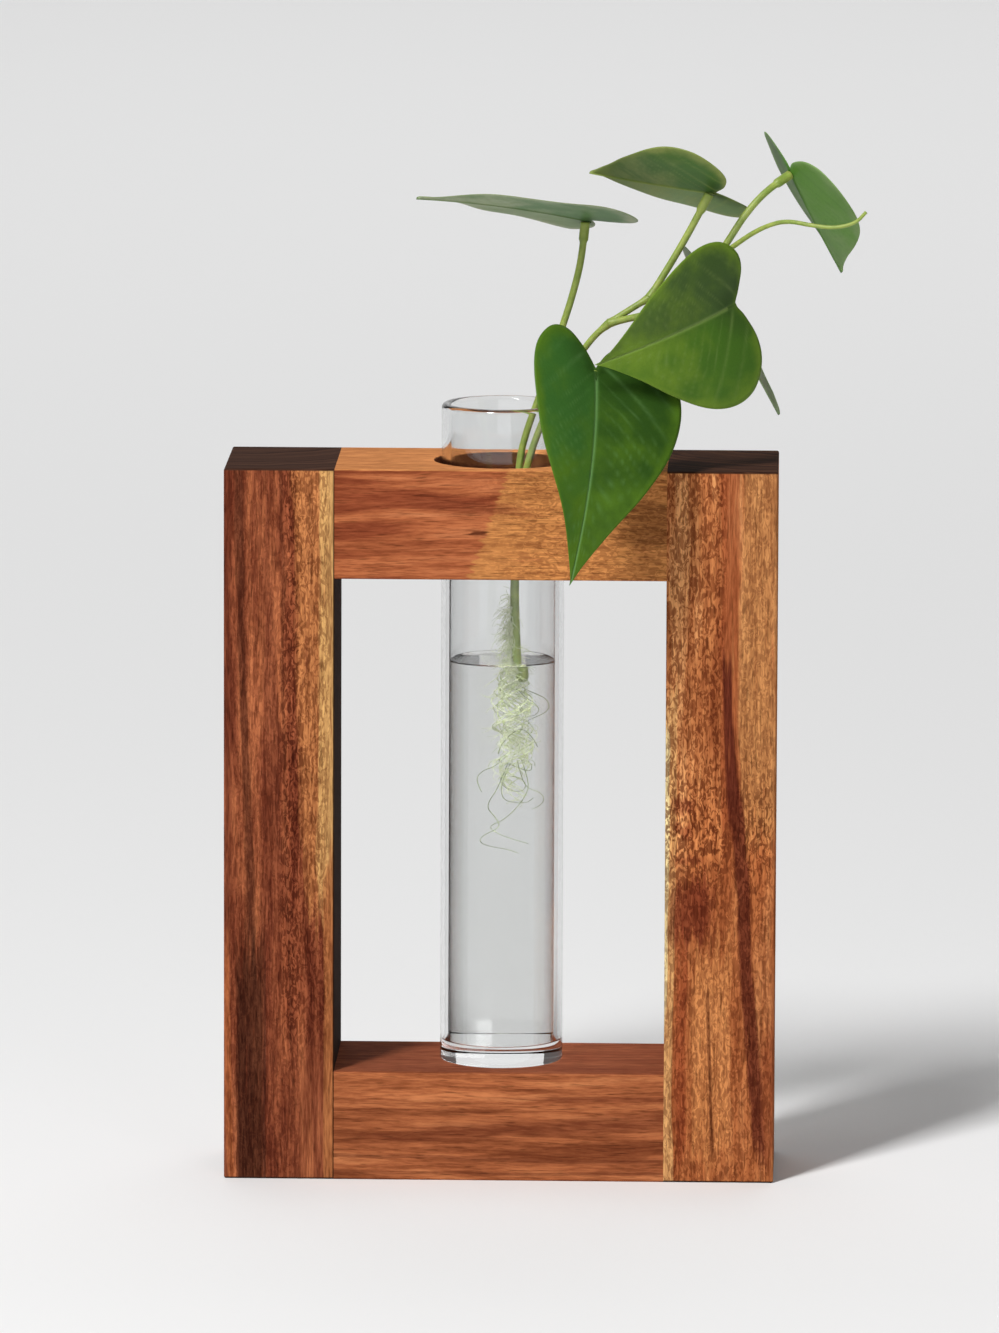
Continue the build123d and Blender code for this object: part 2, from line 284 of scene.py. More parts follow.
def grain_frame(add, along, face):
    """Place in millimetres as (across, depth, along, plain across), bent a little as real grain bends."""
    parts = add("SeparateXYZ", {0: in_millimetres(add)}).node.outputs
    across, depth, run = [parts[axis] for axis in ("XYZ" if along == "Z" else "ZYX")]
    straight = add("CombineXYZ", (across, depth, run))
    bent = add("Math", (depth, -face), **PLUS)
    bent = add("Math", (bent, 0.35, across), **TIMES_PLUS)
    # A slow wander of the grain, then the small waves of interlocked fibres
    for wide, deep, long, shift in ((16.0, 24.0, 60.0, 2.8), (6.0, 10.0, 18.0, 0.7)):
        place = add("VectorMath", (straight, (1 / wide, 1 / deep, 1 / long)), **TIMES)
        wander = add("TexNoise", {"Vector": place, "Scale": 1.0, "Detail": 1.0})
        wander = add("Math", (wander, shift, -shift / 2), **TIMES_PLUS)
        bent = add("Math", (bent, wander), **PLUS)
    return bent, depth, run, across


def streaks(add, place, spacing, run, detail, seed, rough=0.55, curl=0.0):
    """Noise drawn out along the grain: spacing across it and run along it, in millimetres."""
    vector = add("VectorMath", (
        add("CombineXYZ", place[:3]), (1 / spacing, 1 / spacing, 1 / run), (seed, 0, 0),
    ), **TIMES_PLUS)
    return add("TexNoise", {
        "Vector": vector, "Scale": 1.0, "Detail": detail, "Roughness": rough, "Distortion": curl,
    })


def band(add, value, low, high, soft):
    """1 where a value lies between low and high, with edges that fade over a width."""
    rise = add("MapRange", (value, low - soft / 2, low + soft / 2), **SMOOTH)
    fall = add("MapRange", (value, high + soft / 2, high - soft / 2), **SMOOTH)
    return add("Math", (rise, fall), **TIMES)


def ragged(add, mask, grain, strength):
    """Breaks a mask's edges up along the grain."""
    broken = add("Math", (grain, -0.5), **PLUS)
    broken = add("Math", (broken, strength, mask), **TIMES_PLUS)
    broken = add("MapRange", (broken, 0.2, 0.8), **SMOOTH)
    return add("Math", (broken, mask), **TIMES)


def vein(start, stop, at_start, at_stop, width, code, strength, soft, fade, slant=0.0):
    """A vein, a patch or a painted shadow in mm: its run along the bar, its middle at both ends as measured
    from the bar's edge, its width, how far its sides and its ends fade, and the slant of its ends."""
    return start, stop, at_start, at_stop, width, linear(code), strength, soft, fade, slant


def acacia(name, along, edge, tones, veins, skins=(), *, contrast, seed, flecks=(), ends=None):
    """Oiled acacia for one bar, measured across from one edge. tones are its heartwood from dark to light,
    skins recolour a face or a bore, some of them with painted shade, and ends are the end grain's two colours
    and the rings' middle."""
    material, add = new_material(name)
    place = grain_frame(add, along, bar_low.y / MM)
    bent, depth, run, plain = place
    broad = streaks(add, place, 6.0, 85, 2.0, seed)
    middle = streaks(add, place, 1.7, 24, 2.0, seed + 4.7)
    fine = streaks(add, place, 0.5, 5.0, 3.0, seed + 7.3, 0.65)
    # Broad tones of heartwood, dark to light, as the growth rings give them
    tone = add("Math", (middle, 0.5, -0.25), **TIMES_PLUS)
    tone = add("Math", (broad, tone), **PLUS)
    body = tones[0]
    for shade, low, high in ((tones[1], 0.33, 0.52), (tones[2], 0.50, 0.70)):
        share = add("MapRange", (tone, low, high), **SMOOTH)
        body = add("Mix", {0: share, 6: body, 7: shade}, **COLOUR)
    # Veins, sapwood and patches where this bar has them, and on the top rail a painted shadow of the front
    # leaf
    for i, (start, stop, at_start, at_stop, width, shade, strength, soft, fade, slant) in enumerate(veins):
        own = streaks(add, place, 0.8, 14, 3.0, seed + 11.0 + 3.7 * i)
        jag = streaks(add, place, 0.9, 30, 3.0, seed + 61.0 + 3.7 * i, 0.7)
        jag = add("Math", (jag, -0.5), **PLUS)
        line = add("MapRange", (run, start, stop, edge + at_start, edge + at_stop), clamp=False)
        off = add("Math", (bent, line), operation="SUBTRACT")
        skewed = add("Math", (plain, -slant, run), **TIMES_PLUS)
        skewed = add("Math", (jag, 3 + 2 * fade, skewed), **TIMES_PLUS)
        mask = add("Math", (
            band(add, off, -width / 2, width / 2, soft), band(add, skewed, start, stop, fade),
        ), **TIMES)
        mask = add("Math", (ragged(add, mask, own, 2.4), strength), **TIMES)
        body = add("Mix", {0: mask, 6: body, 7: shade}, **COLOUR)
    # A skin lies at some distance across from the bar's edge, or away from the tube's upright axis. Some
    # skins are painted shade.
    away = add("CombineXYZ", (run if along == "X" else plain, depth))
    spots = {
        "across": add("Math", (plain, -edge), **PLUS),
        "away": add("VectorMath", {0: away}, out="Value", operation="LENGTH"),
    }
    for spot, low, high, code, strength in skins:
        mask = add("Math", (band(add, spots[spot], low, high, 0.2), strength), **TIMES)
        body = add("Mix", {0: mask, 6: body, 7: linear(code)}, **COLOUR)
    # Short streaks from red-brown to tan, in every part of the bar
    mix = add("Math", (middle, 0.32), **TIMES)
    mix = add("Math", (fine, 0.68, mix), **TIMES_PLUS)
    dark = [1 - contrast * c for c in (0.50, 0.58, 0.60)]
    light = [1 + contrast * c for c in (0.26, 0.34, 0.32)]
    share = add("MapRange", (mix, 0.36, 0.64), **SMOOTH)
    tint = add("Mix", {0: share, 6: dark, 7: light}, **COLOUR)
    body = add("VectorMath", (body, tint), **TIMES)
    # Pores: short dark dashes along the grain, drawn a little coarser than the real 0.2 mm so that they show
    dash = streaks(add, place, 0.36, 5.0, 1.0, seed + 5.9)
    dash = add("MapRange", (dash, 0.58, 0.72, 1.0, 0.62), **SMOOTH)
    body = add("VectorMath", {0: body, 3: dash}, operation="SCALE")
    # Interlocked grain: short curly flecks, dark on tan, in some parts of a bar
    for start, stop, across, width, strength in flecks:
        mottle = streaks(add, place, 1.0, 2.3, 2.0, seed + 21.0, 0.6, 1.4)
        mottle = add("MapRange", (mottle, 0.43, 0.57), **SMOOTH)
        across += edge
        mask = add("Math", (
            band(add, bent, across - width / 2, across + width / 2, 3.0), band(add, run, start, stop, 24.0),
        ), **TIMES)
        dark = [1 - strength * c for c in (0.8, 1.0, 1.05)]
        tint = add("Mix", {0: mottle, 6: dark, 7: (1.2, 1.2, 1.16)}, **COLOUR)
        flecked = add("VectorMath", (body, tint), **TIMES)
        body = add("Mix", {0: mask, 6: body, 7: flecked}, **COLOUR)
    if ends:
        ring_colour, pale_ring, heart = ends
        cut = band(add, run, 0.4, bar_top - 0.4, 0.3)
        cut = add("Math", (cut, -1.0, 1.0), **TIMES_PLUS)
        # Growth rings show as arcs round the heart of the tree
        out = add("CombineXYZ", (
            add("Math", (plain, -edge - heart[0]), **PLUS), add("Math", (depth, -heart[1]), **PLUS),
        ))
        radius = add("VectorMath", {0: out}, out="Value", operation="LENGTH")
        jitter = add("TexNoise", {"Vector": out, "Scale": 0.12, "Detail": 3.0})
        radius = add("Math", (jitter, 5.0, radius), **TIMES_PLUS)
        radius = add("Math", (radius, 0.42), **TIMES)
        radius = add("CombineXYZ", {0: radius})
        ring = add("TexNoise", {"Vector": radius, "Scale": 1.0, "Detail": 4.0})
        ring = add("MapRange", (ring, 0.35, 0.65), **SMOOTH)
        end = add("Mix", {0: ring, 6: ring_colour, 7: pale_ring}, **COLOUR)
        body = add("Mix", {0: cut, 6: body, 7: end}, **COLOUR)
    bump = add("Bump", {"Height": fine, "Strength": 0.15, "Distance": 0.2 * MM})
    # Oil soaks in and leaves little gloss
    shader = add("BsdfPrincipled", {
        "Base Color": body, "Roughness": 0.75, "Normal": bump, "IOR": 1.5, "Specular IOR Level": 0.01,
    })
    add("OutputMaterial", {"Surface": shader})
    return material


# The bars' edges in mm, and places beyond their ends, where a vein that runs right through starts and stops
left_edge, right_edge, bar_top = bar_low.x / MM, -bar_high.x / MM, bar_high.z / MM
rail_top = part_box("bottom_rail")[1].z / MM
far, past = -12.0, bar_top + 12.0


def left_coat(wood):
    """Dark red heartwood with black veins, a golden band and a sapwood edge."""
    tones = [linear("#6A3423"), wood.stile_heart[:], linear("#9E5B3B")]
    return acacia("oiled_acacia_left", "Z", left_edge, tones, [
        vein(60, past, 23.6, 19.9, 10.4, "#AC6E43", 0.85, 2.6, 26),
        vein(64, past, 23.6, 23.6, 4.8, "#B98C58", 0.95, 1.3, 16),
        vein(far, 76, 24.2, 24.2, 3.0, "#A8693F", 0.75, 1.2, 12),
        vein(48, past, 6.3, 2.6, 2.2, "#552B1D", 0.85, 1.2, 20),
        vein(far, 58, 6.2, 6.0, 6.6, "#3E2117", 0.85, 2.4, 26),
        vein(far, 58, 1.9, 0.2, 1.8, "#A05A36", 0.75, 0.8, 12),
        vein(66, 150, 13.0, 9.0, 4.0, "#6E3826", 0.6, 3.0, 40),
        vein(far, 52, 9.4, 9.4, 0.6, "#4B291F", 0.6, 0.5, 10),
        vein(20, past, 15.5, 12.6, 0.8, "#552B1D", 0.55, 0.7, 30),
    # The inner face beside the opening is painted near black: painted shade, as that face turns away from the
    # key light
    ], [("across", 24.75, 40.0, "#2A1A12", 0.96)], contrast=0.85, flecks=[
        (30, past, 18.6, 10.0, 0.42), (far, past, 9.0, 16.0, 0.2),
    ], seed=2.0, ends=(wood.end_grain[:], linear("#4A3227"), (4.0, 30.0)))


def right_coat(wood):
    """Golden mottled wood with one long dark vein, dark bars and a pale inner edge."""
    tones = [linear("#8E4F2E"), wood.gold[:], linear("#C68A5A")]
    return acacia("oiled_acacia_right", "Z", right_edge, tones, [
        vein(far, 80, 13, 13, 27.0, "#96522F", 0.6, 1.0, 30),
        vein(78, past, 20.5, 21.5, 9.0, "#AC7548", 0.85, 2.4, 20),
        vein(far, 114, 0.9, 0.7, 3.4, "#C1905E", 0.9, 0.9, 8),
        vein(34, 104, 0.3, 0.1, 1.5, "#CDB88A", 0.9, 0.5, 14),
        vein(80, past, 14.6, 14.0, 4.6, "#98502F", 0.8, 1.8, 16),
        vein(84, 122, 15.2, 13.6, 2.8, "#58251A", 0.92, 1.2, 12),
        vein(4, 92, 21.8, 15.4, 3.3, "#5E2B1D", 0.92, 1.3, 10),
        vein(4, 36, 24.5, 23.0, 4.2, "#86462B", 0.75, 1.8, 16),
        vein(4, 56, 10.8, 10.8, 9.0, "#C07E4C", 0.7, 2.4, 14),
        vein(4, 58, 4.4, 4.2, 2.6, "#90472A", 0.75, 1.2, 12),
        vein(84.6, 88.4, 3.8, 3.8, 5.2, "#84402A", 0.7, 2.6, 2.0),
        vein(79.4, 83.0, 3.8, 3.8, 4.8, "#7C3A24", 0.75, 2.6, 2.0),
        vein(73.4, 75.4, 5.2, 5.2, 7.0, "#84452B", 0.7, 3.0, 1.2),
        vein(55.0, 70.0, 6.0, 6.0, 10.0, "#6E3020", 0.8, 5.0, 7.0),
        vein(6, 46, 11.4, 10.0, 0.9, "#5F2F1C", 0.75, 0.6, 8),
    ], contrast=0.7, flecks=[
        (72, past + 20, 5.5, 15.0, 0.55), (far, 90, 11.0, 26.0, 0.36), (70, past + 20, 20.5, 8.0, 0.3),
    ], seed=31.0, ends=(linear("#2C1B15"), linear("#4C3123"), (31.0, 34.0)))


def top_coat(wood):
    """Red-brown wood that turns golden along a slanting line, with painted shade in the bored hole and a
    painted shadow of the front leaf near its right end.
    """
    tones = [linear("#86432A"), wood.rail_red[:], linear("#B56E48")]
    return acacia("oiled_acacia_top", "X", bar_top, tones, [
        vein(-57, 60, -12, -12, 60.0, "#B97B47", 0.93, 1.5, 1.6, 0.36),
        vein(-20, 8, -7.5, -9.5, 3.2, "#7E3F28", 0.7, 2.0, 16),
        vein(-45, -8, -18.5, -17.5, 3.0, "#8A482C", 0.6, 2.0, 16),
        # A darker band on the front from 27 mm to the right end: a painted shadow of the front leaf
        vein(27, 60, -12, -12, 11.0, "#80502D", 0.75, 5.0, 8),
        vein(-6.5, -2.2, -14.8, -14.8, 1.3, "#4E2415", 0.9, 1.2, 2.4),
    # The wall of the bored hole is painted dark brown: painted shade inside the hole
    ], [("across", -0.25, 9.0, "#D28C54", 0.75), ("away", 10.0, 15.7, "#4A2A1C", 0.9)],
        contrast=0.62, flecks=[(0, 70, -12, 40.0, 0.25)], seed=53.0)


def bottom_coat(wood):
    """Even red-brown wood with long level veins."""
    tones = [linear("#7E4429"), wood.base_rail[:], linear("#B8734A")]
    return acacia("oiled_acacia_bottom", "X", rail_top, tones, [
        vein(-30, 60, -15.8, -8.6, 4.6, "#743C26", 0.65, 3.2, 34),
        vein(4, 60, -5.8, -5.4, 1.4, "#7A3F28", 0.7, 1.0, 24),
        vein(-60, 10, -3.0, -3.0, 7.0, "#B56B43", 0.6, 3.0, 30),
        vein(-60, 60, -20.0, -20.0, 1.0, "#6E3A25", 0.6, 0.7, 10),
        vein(-60, 60, -23.5, -22.8, 0.9, "#6E3A25", 0.6, 0.7, 10),
    ], [("across", -0.25, 9.0, "#7B412C", 0.8)], contrast=0.62, seed=71.0)


class VASE_OT_finish_bars(bpy.types.Operator):
    """Give each bar of the frame its own piece of oiled acacia"""

    bl_idname = "vase.finish_bars"
    bl_label = "Finish the bars"

    def execute(self, context):
        wood = context.scene.vase.wood
        coat_node("left_stile", left_coat(wood))
        coat_node("right_stile", right_coat(wood))
        coat_node("top_rail", top_coat(wood))
        coat_node("bottom_rail", bottom_coat(wood))
        return {"FINISHED"}


class VASE_OT_finish_dowels(bpy.types.Operator):
    """Give the hidden dowels their plain beech"""

    bl_idname = "vase.finish_dowels"
    bl_label = "Finish the dowels"

    def execute(self, context):
        # Plain beech, milled with flutes: a fine even grain with short darker rays
        beech = context.scene.vase.wood.beech[:]
        material, add = new_material("milled_beech")
        place = grain_frame(add, "X", 0.0)
        fibre = streaks(add, place, 0.5, 12, 2.0, 4.0)
        rays = streaks(add, place, 0.4, 1.6, 1.0, 9.0)
        rays = add("MapRange", (rays, 0.62, 0.7, 0.0, 0.35))
        tone = add("Mix", {0: fibre, 6: beech, 7: linear("#B58F62")}, **COLOUR)
        tone = add("Mix", {0: rays, 6: tone, 7: linear("#8E6640")}, **COLOUR)
        bump = add("Bump", {"Height": fibre, "Strength": 0.2, "Distance": 0.1 * MM})
        shader = add("BsdfPrincipled", {"Base Color": tone, "Roughness": 0.7, "IOR": 1.5, "Normal": bump})
        add("OutputMaterial", {"Surface": shader})
        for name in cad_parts:
            if name.startswith("dowels_"):
                coat_node(name, material)
        return {"FINISHED"}


# Glass and water

def clear_body(name, tint, ior):
    """A clear body that bends light but lets the lamps' light through, so that it casts no hard shadow."""
    material, add = new_material(name)
    clear = add("BsdfPrincipled", {
        "Base Color": tint, "Roughness": 0.0, "IOR": ior, "Transmission Weight": 1.0,
    })
    let_through = add("BsdfTransparent", {"Color": tint})
    shadow_ray = add("LightPath", out="Is Shadow Ray")
    surface = add("MixShader", (shadow_ray, clear, let_through))
    add("OutputMaterial", {"Surface": surface})
    return material


def wall_heights(low, high, corner, steps):
    """Heights up a straight wall, close together beside its round ends so that they shade cleanly."""
    near = 0.3 * MM
    middle = [low + near + (high - low - 2 * near) * i / steps for i in range(steps + 1)]
    return [low + near * corner] + middle + [high - near * corner]


class VASE_OT_blow_tube(bpy.types.Operator):
    """Make the glass tube with its thick floor and fire-polished rim"""

    bl_idname = "vase.blow_tube"
    bl_label = "Blow the tube"

    def execute(self, context):
        glass = context.scene.vase.glass
        outer = tube_high.x
        bore = outer - glass.wall
        low, high = tube_low.z, tube_high.z
        floor = low + glass.floor
        half_rim = glass.wall / 2
        # The underside is pushed up a little: the tube stands on a ring, and light bounces off the hollow
        ring = outer - glass.foot
        shares = (0, 0.25, 0.5, 0.7, 0.85, 0.95)
        profile = [(ring * s, low + glass.hollow * (1 - s ** 2) ** 0.8) for s in shares]
        profile += arc((ring, low + glass.foot), glass.foot, -90, 0, 16)
        profile += [(outer, z) for z in wall_heights(low + glass.foot, high - half_rim, 0.3, 12)]
        profile += arc((outer - half_rim, high - half_rim), half_rim, 0, 180, 20)
        profile += [(bore, z) for z in reversed(wall_heights(floor + glass.well, high - half_rim, 0.3, 12))]
        profile += arc((bore - glass.well, floor + glass.well), glass.well, 0, -90, 12)
        profile += [((bore - glass.well) / 2, floor), (0, floor)]
        verts, faces = turned(profile, glass.sides)
        # Borosilicate glass, drawn and fire polished: clear, with bright lines where the wall is seen edge on
        material = clear_body("drawn_borosilicate_glass", glass.tint[:], 1.473)
        add_piece("glass_tube_clear", verts, faces, [material], "tube", ["glass_tube"])
        return {"FINISHED"}


class VASE_OT_pour_water(bpy.types.Operator):
    """Fill the tube with water that climbs the glass at its edge"""

    bl_idname = "vase.pour_water"
    bl_label = "Pour the water"

    def execute(self, context):
        glass = context.scene.vase.glass
        radius = water_high.x
        low, edge = water_low.z, water_high.z
        level = edge - glass.rise
        well = glass.well
        profile = [(0, low), ((radius - well) / 2, low)]
        profile += arc((radius - well, low + well), well, -90, 0, 12)
        profile += [(radius, z) for z in wall_heights(low + well, edge, 0.3, 10)]
        steps = 14
        for i in range(1, steps + 1):
            share = i / steps
            profile.append((radius - glass.reach * share, level + glass.rise * (1 - share) ** 2.2))
        profile += [((radius - glass.reach) * share, level) for share in (0.75, 0.5, 0.25)] + [(0, level)]
        verts, faces = turned(profile, glass.sides)
        # Tap water, settled: clear, faintly grey beside the bright ground behind it
        material = clear_body("still_water", glass.water_tint[:], 1.333)
        add_piece("water_clear", verts, faces, [material], "tube", ["water"])
        return {"FINISHED"}


# The cutting. Places are in millimetres, those of the spray from the middle of the rim.

rim_z = tube_high.z / MM
stem_in_tube = [
    (3.4, 0.0, 112.6), (2.9, 0.0, 123.3), (2.6, -0.2, 135.3),
    (3.4, -0.6, 149.9), (5.2, -1.2, 162.1), (10.2, -2.0, 176.0),
]
stem_above = [
    (13.8, -2.6, 6.0), (19.6, -3.0, 14.8), (23.8, -3.6, 18.7), (29.3, -3.7, 22.3),
    (33.0, -3.0, 24.5), (40.0, -2.0, 28.7), (48.4, -1.0, 33.8),
]
front_fork, large_fork, upper_fork, back_fork, right_fork = [stem_above[i] for i in (0, 2, 4, 5, 6)]
left_fork = (3.4, -0.6, 149.9 - rim_z)
shoot_above = [
    (51.8, -3.0, 36.2), (55.5, -5.5, 39.2), (59.5, -8.5, 41.7), (64.0, -11.0, 43.2),
    (70.0, -13.7, 42.3), (75.0, -15.2, 42.0), (79.5, -16.0, 43.2), (81.8, -16.2, 45.8),
]


def above_rim(place):
    """A place of the spray, in millimetres in the row's frame."""
    return Vector((place[0], place[1], place[2] + rim_z))


class Blade:
    """A heart leaf: its size, its form and where it points, as the frame's own leaf of that name."""

    def __init__(self, size, halves, folds, camber, droop, heading, dip, bank, seat, stalk,
                 lobes=(1.0, 1.0), notch=0.0):
        self.size, self.halves, self.folds = size, halves, folds
        self.camber, self.droop, self.stalk = camber, droop, stalk
        self.lobes, self.notch = lobes, notch
        turn = Euler([math.radians(angle) for angle in (bank, dip, heading)], "XYZ")
        self.place = Matrix.LocRotScale(above_rim(seat), turn, None)

    def height(self, along, across):
        """How high the upper face stands over the flat."""
        right = across <= 0
        half = self.size * self.halves[right]
        fold = math.tan(math.radians(self.folds[right]))
        rise = fold * (math.sqrt(across ** 2 + 4.0) - 2.0)
        return rise - self.camber * across ** 2 / half - self.droop * along ** 2 / self.size

    def knee(self):
        """Where the stalk meets the blade, under the midrib just past the notch."""
        return self.place @ Vector((1.5, 0, self.height(1.5, 0) - 0.75))


blades = {
    "front": Blade(49.0, (0.436, 0.346), (14.9, 16.0), 0.19, 0.32, -84.4, 48.1, -27.1, (21.5, -27.1, 11.5),
                   [front_fork, (14.8, -8.5, 8.8), (18.0, -18.5, 11.2)]),
    "large": Blade(36.0, (0.597, 0.470), (11.2, 11.5), 0.12, 0.20, -134.8, 17.3, -89.7, (51.0, -14.0, 23.6),
                   [large_fork, (31.2, -6.2, 20.8), (42.0, -10.5, 23.3)], (1.0, 1.0), -0.07),
    "left": Blade(41.5, (0.508, 0.422), (6.7, 3.7), 0.09, 0.08, 196.3, -13.4, 10.7, (19.8, 4.7, 41.2),
                  [left_fork, (3.4, 1.0, -14.0), (5.3, 1.7, -6.4), (8.3, 2.0, 1.6), (13.1, 3.0, 16.7),
                   (15.2, 3.6, 23.1), (17.4, 4.3, 31.7)], (1.0, 0.4)),
    "upper": Blade(32.0, (0.630, 0.468), (3.2, 0.2), -0.02, -0.03, 155.6, -4.2, 29.2, (47.9, -0.2, 48.3),
                   [upper_fork, (38.0, -1.6, 32.5), (42.2, -0.8, 39.8)]),
    "right": Blade(33.0, (0.441, 0.617), (11.0, 17.4), 0.10, -0.03, 55.8, 51.9, 31.4, (64.6, 6.0, 53.2),
                   [right_fork, (50.8, -1.0, 37.4), (54.6, 0.4, 43.4), (59.2, 2.5, 48.4)]),
    "back": Blade(38.0, (0.394, 0.38), (11.1, 6.7), 0.13, 0.0, -13.4, 60.1, -28.2, (44.4, 16.0, 29.3),
                  [back_fork, (41.4, 6.0, 29.4), (42.6, 12.0, 28.6)], (1.0, 0.35)),
}
# What each point of a blade knows: how much of a vein it is, how far out, how far along, and which half
leaf_marks = ("vein", "reach", "along", "half")
# Half of the heart outline, notch to tip: shares of the length and of the half width
heart_shares = [
    (0.0, 0.0), (-0.10, 0.16), (-0.17, 0.42), (-0.15, 0.70), (-0.03, 0.93), (0.15, 1.0),
    (0.35, 0.90), (0.57, 0.63), (0.77, 0.31), (0.92, 0.09), (1.0, 0.0),
]


def heart_edge(share):
    """A place on the heart outline, from 0 at the notch to 1 at the tip, on a curve through its points."""
    spans = len(heart_shares) - 1
    i = min(int(share * spans), spans - 1)
    t = share * spans - i
    before, a, b, after = [Vector(heart_shares[min(max(j, 0), spans)]) for j in (i - 1, i, i + 1, i + 2)]
    return 0.5 * (
        2 * a + (b - before) * t + (2 * before - 5 * a + 4 * b - after) * t ** 2
        + (3 * a - before - 3 * b + after) * t ** 3
    )


def leaf_skin(name, face_codes, back_codes, vein_code, gloss):
    """A living leaf with a waxy skin: soft gloss, paler veins, light that glows through the thin blade, and
    painted shade on one half where the two halves' tones differ.
    """
    skins = []
    for side, codes in (("face", face_codes), ("underside", back_codes)):
        left, right, edge, deep = [linear(code) for code in codes]
        material, add = new_material(f"living_leaf_{name}_{side}")
        place = in_millimetres(add)
        veins, reach, along, half = [add("Attribute", out="Fac", attribute_name=mark) for mark in leaf_marks]
        cloud = add("TexNoise", {"Vector": place, "Scale": 0.16, "Detail": 3.0})
        grit = add("TexNoise", {"Vector": place, "Scale": 2.2, "Detail": 2.0})
        # Each half of the blade has its own tone; where the two differ, the darker half is painted shade
        body = add("Mix", {0: half, 6: right, 7: left}, **COLOUR)
        # The blade pales towards its margin and tip and darkens round the notch, unevenly
        out = add("Math", (reach, 3.0), operation="POWER")
        out = add("Math", (out, along), operation="MAXIMUM")
        out = add("Math", (cloud, 0.9, out), **TIMES_PLUS)
        pale = add("MapRange", (out, 0.85, 1.5), **SMOOTH)
        body = add("Mix", {0: pale, 6: body, 7: edge}, **COLOUR)
        near = add("Math", (cloud, 0.6), **TIMES)
        near = add("Math", (reach, 0.35, near), **TIMES_PLUS)
        near = add("Math", (along, 1.7, near), **TIMES_PLUS)
        near = add("MapRange", (near, 1.15, 0.35), **SMOOTH)
        body = add("Mix", {0: near, 6: body, 7: deep}, **COLOUR)
        body = add("Mix", {0: veins, 6: body, 7: linear(vein_code)}, **COLOUR)
        fade = add("MapRange", {0: grit, 3: 0.88, 4: 1.12})
        body = add("VectorMath", {0: body, 3: fade}, operation="SCALE")
        bump = add("Bump", {"Height": grit, "Strength": 0.12, "Distance": 0.1 * MM})
        skin = add("BsdfPrincipled", {
            "Base Color": body, "Roughness": gloss, "IOR": 1.42, "Specular IOR Level": 0.22, "Normal": bump,
        })
        glow = add("BsdfTranslucent", {"Color": body})
        add("OutputMaterial", {"Surface": add("MixShader", (0.22, skin, glow))})
        skins.append(material)
    return skins


def blade_point(leaf, shift, side, t, r, spot, below):
    """A vertex of a blade and its marks. t is its share of the way from notch to tip and r from midrib to
    margin, and below is the blade's thickness for the underside and 0 for the face."""
    half = leaf.size * leaf.halves[side < 0]
    # Margins bow forward between the midrib and the edge, as side veins do
    spot.x += 0.07 * math.sin(math.pi * r) * (1 - t)
    along, across = spot.x * leaf.size, side * spot.y * half
    # Side veins leave the midrib at a slant and run forward to the margin, and those of the lobes run back
    vein_count, lobe_vein_count = 14, 6
    start = along / leaf.size - 0.40 * (abs(across) / half) ** 1.1
    start += 0.015 * noise.noise(Vector((along / 8, across / 8, 5.0 * side)))
    phase = start * (vein_count if start > 0 else lobe_vein_count) + 0.25 * side
    vein = math.exp(-((phase - round(phase)) / 0.08) ** 2) * (1 - r ** 4) * min(1.0, 3 * r)
    vein *= 0.35 + 0.5 * abs(noise.noise(Vector((along / 6, across / 6, 3.0 * side))))
    rib_width = 0.45 * (0.35 + 0.65 * max(0.0, 1 - t) ** 0.5)
    rib = math.exp(-(across / rib_width) ** 2) * min(1.0, 14 * t)
    # The blade swells here and there and waves at its margin. Veins sink into its face, the midrib deepest
    swell = noise.noise(Vector((along / 9, across / 7, shift)))
    z = leaf.height(along, across) + 0.16 * swell * min(1.0, 3 * r)
    z += 0.35 * math.sin(along / 4.1 + side) * r ** 3 * min(1.0, 4 * t * (1 - t) * 2)
    z -= 0.12 * vein * (-0.2 if below else 1)
    z -= 0.22 * rib * (1.4 if below else 1)
    z -= below * (0.15 + 0.85 * (1 - r ** 8))
    place = (leaf.place @ Vector((along, across, z))) * MM
    return place, (max(0.6 * vein, 0.8 * rib), r, t, 0.5 + 0.5 * math.tanh(across))


